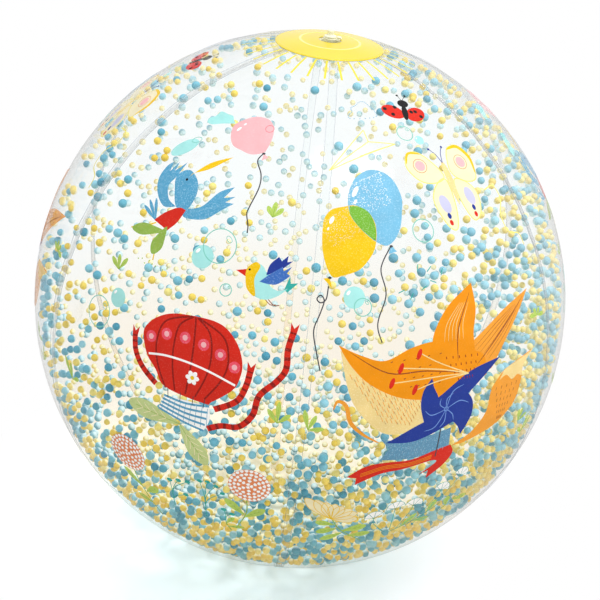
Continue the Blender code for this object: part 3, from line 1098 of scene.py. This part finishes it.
def ladybird(s):
    s.at(4, 63)
    for x, y, lean, spots in ((-7, 1, -35, "-11,4 -8,-1 -4,4"), (7, -3, 20, "5,-1 10,-5 8,-1")):
        s.disc("red", 1, x, y, 7.2, 5.0, lean)
        for spot in points_of(spots):
            s.disc("black", 2, *spot, 1.25)
    s.disc("black", 2, 0.5, -1, 2.0, 6.0, -20)
    s.disc("black", 2, 3, 6, 3.6, 3.0)
    for tip in ((3, 13), (8, 12)):
        s.line("black", 2, [(3.5, 8), tip], 0.35)
        s.disc("black", 2, *tip, 0.8)


def lily(s):
    """A large speckled orange flower with a cream petal below and stamens."""
    s.at(-6, 14)
    s.fill("cream", 1, "-51,12 -44,8 -32,-8 -2,-16 / 0,-34 / -10,-39 -24,-38 -38,-26 -46,-12 -51,12")
    for row in range(7):
        x, y = (-45 + 3.2 * row, -3 - 4.4 * row)
        end = (-3 - row, -21 - 2 * row)
        s.hatch("amber", 2, (x, y), end, 13 - row, 115, 3.4, 0.35)
        s.hatch("brown", 2, (x + 2, y - 2), end, 9 - row, 120, 2.2, 0.2)
    s.fill("amber", 2, "24,6 40,16 58,26 80,34 / 70,22 58,8 46,-8 / 30,-12 / 24,6")
    s.fill("orange", 3, "2,4 4,18 14,32 31,43 / 33,28 31,14 34,-4 / 2,4")
    s.fill("orange", 4, "20,7 6,13 -10,11 -26,5 -40,9 -52,15 / -45,3 -34,-8 -16,-17 6,-20 26,-17 42,-11 / "
           "38,2 20,7")
    for rib in ("34,-4 52,12 74,30", "20,0 20,18 29,38", "30,-8 0,-3 -24,-2 -46,11"):
        s.line("brown", 5, rib, 0.7, taper=True)
    for line in range(6):
        shift = line - 2.5
        vein = [(37 + 2.4 * shift, 2 - 1.6 * shift), (52 + 1.8 * shift, 14 - 1.3 * shift), (68 + shift, 26.5)]
        s.line("brown", 3, vein, 0.3, taper=True)
        vein = [(17 + 2.6 * shift, 12), (18 + 2.2 * shift, 22), (25 + 1.2 * shift, 33)]
        s.line("cream", 4, vein, 0.35, taper=True)
    for row in range(4):
        s.hatch("dark_red", 5, (12 + 3 * row, 3 - 4.5 * row), (34 - row, 2 - 4 * row), 6, 100, 1.5, 0.55)
        s.hatch("brown", 5, (-22 + 4 * row, 4 - 5 * row), (8, 6 - 5.5 * row), 5, 20, 1.3, 0.5)
    for x, y in points_of("-20,-8 -15,0 -6,-13 -4,7"):
        s.line("cream", 6, [(28, -8), (8, y * 0.5 - 3), (x, y)], 0.6)
        s.disc("red", 7, x - 1.5, y, 3.2, 1.4, 70)


def pinwheel(s):
    s.at(-1, 5)
    x, y = hub = (-1, 0)
    s.line("string", 5, "-3,-12 -3,-31", 0.8)
    sails = (
        "-1,0 -7,8 / -12,20 / -17,13 -18,4 -15,-6 / -1,0",
        "-7,8 14,20 38,24 / 25,15 14,7 / -1,0 / -7,8",
        "-1,0 14,7 / 18,1 18,-8 12,-19 / 9,-13 5,-9 / -1,0",
        "5,-9 -10,-15 -22,-18 -37,-17 / -22,-9 -15,-6 / -1,0 / 5,-9",
    )
    for sail in sails:
        s.fill("navy", 5, sail)
    for u, v in points_of("-5,7 3,9 10,13 15,1 5,-8 -4,-11 -14,-12 -15,1"):
        bend = (x + u * 0.6 - v * 0.2, y + v * 0.6 + u * 0.2)
        s.line("cornflower", 6, [hub, bend, (u, v)], 0.55, taper=True)
    s.ring("cornflower", 6, x, y, 1.3, 0.45)


def ribbons_and_petal(s):
    """A fallen orange petal with a cream tip, and a blue and a red ribbon under the flower."""
    s.at(-6, 14)
    s.fill("amber", 0, "23,-53 37,-46 46,-35 48,-21 58,-11 / 87,-4 / 77,-12 76,-22 72,-35 59,-45 "
           "44,-50 30,-53 / 23,-53")
    s.fill("cream", 1, "58,-11 87,-4 / 77,-12 76,-19 / 71,-17 66,-19 60,-15 54,-17 / 58,-11")
    for row in range(6):
        y = -22 - 4 * row
        s.hatch("brown", 1, (52 + row, y), (71 - 2 * row, y), 5, 80, 2.0, 0.4)
    s.line("amber", 1, "-26,-44 -36,-38 -44,-30 -47,-20 -52,-17 -54,-22", 2.4, taper=True)
    s.fill("steel", 1, "-25,-42 -12,-44 4,-43 20,-40 / 21,-53 / -2,-57 -24,-56 / -19,-49 / -25,-42")
    for column in range(13):
        s.hatch("sky", 2, (-16 + 2.8 * column, -46), (-18 + 2.9 * column, -53.5), 3, 85, 1.7, 0.3)
    s.fill("red", 2, "-42,-67 -32,-60 -20,-58 -4,-58 11,-54 22,-52 / 25,-58 20,-66 10,-74 / 10,-68 / 4,-70 / "
           "14,-63 10,-61 -7,-64 -22,-66 -36,-73 / -36,-68 / -42,-67")
    for row in range(3):
        s.line("orange", 3, [(-34, -65 - row), (-20, -60.5 - row), (-4, -60 - row), (10, -57 - row)], 0.35)


def moon_flower(s):
    """A pale half-open flower on a leafy stem."""
    s.at(-21, -20)
    foot = (1, 1)
    for tip in points_of("-17,19 -11,18 -5,16 1,15 6,13 12,10 16,6 17,0"):
        s.leaf("straw", 1, foot, tip, 7)
        s.leaf("straw", 2, foot, tuple(0.86 * t for t in tip), 5)
        (x, y), (dx, dy) = between(foot, tip, 0.65), sideways(foot, tip, 7)
        s.line("yellow", 3, [foot, (x - dx, y - dy), tip, (x + dx, y + dy), foot], 0.4)
    leaves = "4,-5,-8,-2,5 6,-9,-6,-13,6 9,-12,24,-8,7 14,-18,28,-17,6 10,-14,-2,-22,6"
    leafy_stem(s, "2,0 8,-10 24,-26", leaves)


def umbels(s):
    """Pale half-round flower heads on thin teal stalks."""
    s.at(-9, -17)
    for x, y, lean in points_of("-7,-7,25 5,0,10 17,0,-10 34,8,-20 46,16,-30"):
        s.line("teal", 0, [(x * 0.35 + 6, -26), (x * 0.9 + 1, y - 9), (x, y - 3)], 0.45)
        angles = [pi * step / 8 + radians(lean) for step in range(9)]
        loop = [(x + 6 * cos(a), y - 2 + 6 * sin(a)) for a in angles]
        s.fill_loop("white", 1, loop)
        s.line("teal", 2, loop, 0.3)
        for step in range(1, 8, 2):
            s.line("teal", 2, [(x, y - 3), loop[step]], 0.25)
    leafy_stem(s, "8,-28 22,-20 38,-8", "14,-25,22,-12,5 22,-20,34,-22,5 30,-14,33,-3,5", ink="teal")
    leafy_stem(s, "40,-18 52,-6", "44,-14,42,-4,5 48,-10,60,-12,5")


def design_b(s):
    for motif in (balloon_pair, butterfly, ladybird, lily, ribbons_and_petal, pinwheel, moon_flower, umbels):
        motif(s)
    s.at(-19, 54)
    for edge in ("-18,-12 4,15", "4,15 6,7", "6,7 22,7", "22,7 -18,-12", "-18,-12 6,7", "22,7 0,-3"):
        s.line("lemon", 0, edge, 0.6)  # a paper plane
    s.at(-16, 63)
    cloud = points_of("-7,-4 -7,-1 -5,1 -5,4 -2,6 1,9 4,9 6,6 8,4 9,1 9,-2 2,-4")
    for dot in smooth(cloud, closed=True, steps=3):
        s.disc("sky", 0, *dot, 0.42, 0.3)
    bubble(s.at(-5, 38), 1, 1, 6.5)
    bubble(s, 7, 61, 5)
    full_bubble(s, 15, 56, 3)
    full_bubble(s.at(-21, 27), -1, -1, 6)
    bubble(s, 4, -6, 4.8)
    s.at(-7, 32)
    for x, y, lean in points_of("-1,-1,80 6,-2,45 -12,-13,20 -6,-16,60 8,-9,-20 2,-12,30 14,-4,70"):
        s.hatch("teal", 0, (x, y), (x, y), 1, lean, 4, 0.55)
    sprig(s.at(25, 17), (1, 0), "-8,2 -3,5 4,4 9,-1")
    sprig(s, (-13, -64), "-15,-55 -3,-62 -10,-56")
    sprig(s.at(-28, 2), (0, 0), "-3,12 4,9 9,1")
    sprig(s.at(24, -8), (0, 0), "4,12 9,8 -6,5")


def sun_rays(s):
    """The rays printed round the top cap."""
    s.out, s.east, s.north = Vector((0, 0, 1)), Vector((1, 0, 0)), Vector((0, 1, 0))
    for ray in range(SUN_RAYS):
        a = 2 * pi * (ray + 0.5) / SUN_RAYS
        ends = (CAP_RADIUS / MM + 0.6, SUN_REACH)
        s.line("sun", 0, [(reach * cos(a), reach * sin(a)) for reach in ends], 1.3)


def make_prints():
    materials = {ink: ink_material(ink, *look) for ink, look in INKS.items()}
    for panel in range(PANELS):
        s = Sketch(panel)
        if panel % 2:
            design_a(s)
        else:
            design_b(s)
        s.piece(f"print_panel_{panel + 1}", materials)
    s = Sketch(0)
    sun_rays(s)
    s.piece("print_sun_rays", materials)


# ---- Beads


def hill(angle, centre, width):
    """A smooth bump round a circle of angles, 1 at its centre. All in degrees."""
    away = (angle - centre + 180) % 360 - 180
    return e ** (-((away / width) ** 2))


def bead_cover(longitude, latitude):
    """Share of the wall that beads cover here. They drift to the sides and sink to the bottom."""
    lon, lat = degrees(longitude), degrees(latitude)
    front = hill(lon, -78, 66)
    cover = 0.15 + 0.20 * hill(lon, 90, 80) * hill(lat, -30, 34)
    cover += 0.85 * hill(lon, -44, 31) * hill(lat, 11, 30)
    cover += 0.18 * hill(lon, -150, 24) * hill(lat, 0, 30)
    cover *= 1 - 0.9 * hill(lon, -110, 66) * hill(lat, 54, 34)
    cover += 0.52 / (1 + e ** ((lat + 62 - 66 * front) / 12))
    cover += 0.45 / (1 + e ** ((lat + 42 - 12 * front) / 9))
    bare = hill(lon, 180, 16) * hill(lat, 20, 50)
    return cover * (1 - 0.75 * bare)


class Crowd:
    """Beads so far, in a grid that finds the ones near a new place."""

    def __init__(self):
        self.beads = []
        self.cells = {}

    def key(self, place):
        return tuple(floor(c / BEAD_PITCH) for c in place)

    def has_room(self, place, size):
        near = [range(cell - 1, cell + 2) for cell in self.key(place)]
        for cell in product(*near):
            for other, other_size in self.cells.get(cell, ()):
                if (other - place).length < size + other_size:
                    return False
        return True

    def add(self, colour, size, place, belt):
        self.cells.setdefault(self.key(place), []).append((place, size))
        self.beads.append((colour, size, place, belt))


def scatter_beads(rng, crowd):
    """Throws beads at random places and keeps those that find room, thickest where the cover is highest."""
    for layer, (tries, share) in enumerate(BEAD_LAYERS):
        for _ in range(tries):
            longitude = rng.uniform(-pi, pi)
            latitude = asin(rng.uniform(-1, 1))
            colour = "blue" if rng.random() < BLUE_SHARE else "yellow"
            size = BEAD_RADII[colour] * rng.uniform(*BEAD_SHARES)
            chance = rng.random()
            depth = BEAD_WALL_GAP + size + (layer + rng.uniform(0, 0.25)) * BEAD_PITCH
            clump = 1 + 1.2 * noise.noise(on_ball(longitude, latitude) * 40)
            cover = bead_cover(longitude, latitude) - (0.45 if layer else 0)
            if chance > share * cover * clump or latitude > BEAD_TOP:
                continue
            place = on_ball(longitude, latitude, -depth)
            place.z = max(place.z, PANEL_FLOOR + BEAD_WALL_GAP + size)
            belt = belt_at(place, size)
            if belt and crowd.has_room(place, size):
                crowd.add(colour, size, place, belt)


def belt_at(place, size):
    """The belt that holds a bead whole, or None where it would cross into the next belt."""
    across = place - CENTRE
    polar = degrees(across.angle(Vector((0, 0, 1))))
    margin = degrees(size / max(0.01, across.length))
    for belt, (start, end) in BELT_EDGES.items():
        inside = (start == 0 or polar > start + margin) and (end == 180 or polar < end - margin)
        if start <= polar < end and inside:
            return belt
    return None


def ball_arrays():
    """Points and triangles of a ball of radius 1."""
    bm = bmesh.new()
    bmesh.ops.create_icosphere(bm, subdivisions=3, radius=1)
    points = np.array([v.co[:] for v in bm.verts])
    faces = np.array([[v.index for v in f.verts] for f in bm.faces])
    bm.free()
    return points, faces


def joined_beads(name, beads, rng):
    """One mesh that holds many beads, each very slightly out of round."""
    points, faces = ball_arrays()
    all_points = []
    all_faces = []
    for number, (_, size, place, _) in enumerate(beads):
        shape = size * np.array([rng.uniform(0.97, 1.0) for _ in range(3)])
        all_points.append(points * shape + np.array(place))
        all_faces.append(faces + number * len(points))
    mesh = bpy.data.meshes.new(name)
    vertices = np.concatenate(all_points)
    corners = np.concatenate(all_faces).ravel()
    mesh.vertices.add(len(vertices))
    mesh.vertices.foreach_set("co", vertices.ravel())
    mesh.loops.add(len(corners))
    mesh.loops.foreach_set("vertex_index", corners)
    mesh.polygons.add(len(corners) // 3)
    mesh.polygons.foreach_set("loop_start", np.arange(0, len(corners), 3))
    mesh.update(calc_edges=True)
    mesh.shade_smooth()
    return mesh


def make_beads(foams):
    """All beads. Those of the CAD model come first, and the rest find room round them."""
    rng = random.Random(7)
    crowd = Crowd()
    samples = {}
    for node in frame["nodes"]:
        if "_bead_" in node:
            colour, _, belt, _ = node.split("_")
            low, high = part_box(node)
            crowd.add(colour, (high.x - low.x) / 2, (low + high) / 2, belt)
            samples.setdefault((belt, colour), []).append(node)
    scatter_beads(rng, crowd)
    groups = {}
    for bead in crowd.beads:
        groups.setdefault((bead[3], bead[0]), []).append(bead)
    for (belt, colour), group in sorted(groups.items()):
        stands_for = samples[belt, colour]
        for part in range(ceil(len(group) / BEADS_PER_PIECE)):
            name = f"{colour}_beads_{belt}_{part + 1}"
            mesh = joined_beads(name, group[part * BEADS_PER_PIECE : (part + 1) * BEADS_PER_PIECE], rng)
            body, slot = f"{belt}_beads", f"{colour}_foam"
            add_piece(name, mesh, foams[colour], body=body, slot=slot, stands_for=stands_for)
            stands_for = ()


# ---- Studio


def make_camera():
    turn, rise, roll = (radians(angle) for angle in (CAMERA_AZIMUTH, CAMERA_ELEVATION, CAMERA_ROLL))
    back = Vector((sin(turn) * cos(rise), -cos(turn) * cos(rise), sin(rise)))
    up = Vector((-sin(turn) * sin(rise), cos(turn) * sin(rise), cos(rise)))
    right = up.cross(back)
    tilted_right = right * cos(roll) + up * sin(roll)
    tilted_up = up * cos(roll) - right * sin(roll)
    camera = new_object("camera", bpy.data.cameras.new("camera"))
    axes = Matrix((tilted_right, tilted_up, back)).transposed().to_4x4()
    camera.matrix_world = Matrix.Translation(CENTRE + back * CAMERA_DISTANCE) @ axes
    camera.data.lens = CAMERA_LENS
    camera.data.clip_start = 0.02
    bpy.context.scene.camera = camera


def add_light(name, place, size, power, colour=(1, 1, 1)):
    lamp = bpy.data.lights.new(name, "AREA")
    lamp.shape = "DISK"
    lamp.size = size
    lamp.energy = power
    lamp.color = colour
    light = new_object(name, lamp)
    light.location = place
    light.rotation_euler = (CENTRE - Vector(place)).to_track_quat("-Z", "Y").to_euler()


def make_world():
    """White where it is seen, and a slightly dimmer, cooler white as the light that falls on things."""
    world = bpy.data.worlds.new("studio")
    bpy.context.scene.world = world
    n = Nodes(world, "World")
    bright = n.add("Background", {"Color": (1, 1, 1, 1), "Strength": 1.1})
    light = n.add("Background", {"Color": (0.97, 0.98, 1.0, 1), "Strength": 0.84})
    n.surface(n.mix_shader(n.seen(), light, bright))


def make_floor():
    """A pale floor. Near the ball it is painted cyan in front and warm behind. These colours show only in the
    ball's shadow and stand in for light tinted by the beads. Further off it is plain white.
    """
    n = new_material("floor")
    # painted coloured shadow: the floor near the ball is cyan in front and warm behind
    behind = n.spread(n.along("Y"), -0.1 * BALL_RADIUS, 0.25 * BALL_RADIUS, smooth=True)
    tint = n.mix_colour(behind, (1.22, 1.36, 1.46, 1), (1.38, 1.34, 1.27, 1))
    shaded = n.add("BsdfDiffuse", {"Color": tint})
    away = n.spread(n.from_axis((-0.2 * BALL_RADIUS, 0)), 0.5 * BALL_RADIUS, 1.1 * BALL_RADIUS, smooth=True)
    pale = n.mix_shader(away, shaded, n.add("Emission"))
    dim = n.add("BsdfDiffuse", {"Color": (0.72, 0.69, 0.62, 1)})
    bm = bmesh.new()
    bmesh.ops.create_grid(bm, x_segments=1, y_segments=1, size=6)
    ground = new_object("floor", to_mesh(bm, "floor", smooth=False))
    ground.data.materials.append(n.surface(n.mix_shader(n.seen(), dim, pale)))
    ground.location.z = -GAP


def make_studio():
    make_world()
    make_floor()
    add_light("key", (0.5, -0.4, 2.0), 0.9, 21)
    add_light("side", (2.0, -0.7, 0.8), 1.0, 4, (1.0, 0.99, 0.96))
    make_camera()
    scene = bpy.context.scene
    scene.view_settings.view_transform = "Standard"
    scene.cycles.transparent_max_bounces = 48


clear_film = film_material()
# Each foam's last colour is its painted pale tone, for the far wall, the upper right and the painted glow.
foams = {
    "blue": foam_material("blue", (70, 152, 180), (106, 184, 208), (156, 214, 230), (212, 234, 240)),
    "yellow": foam_material("yellow", (238, 204, 72), (250, 220, 100), (254, 236, 142), (250, 241, 206)),
}
make_film(clear_film)
make_caps(cap_material(), clear_film)
vinyl = vinyl_material()
for make_valve_part in (make_flange, make_stem, make_plug, make_hinge_rib, make_flap, make_skirt):
    make_valve_part(vinyl)
make_welds(weld_material())
make_prints()
make_beads(foams)
make_studio()
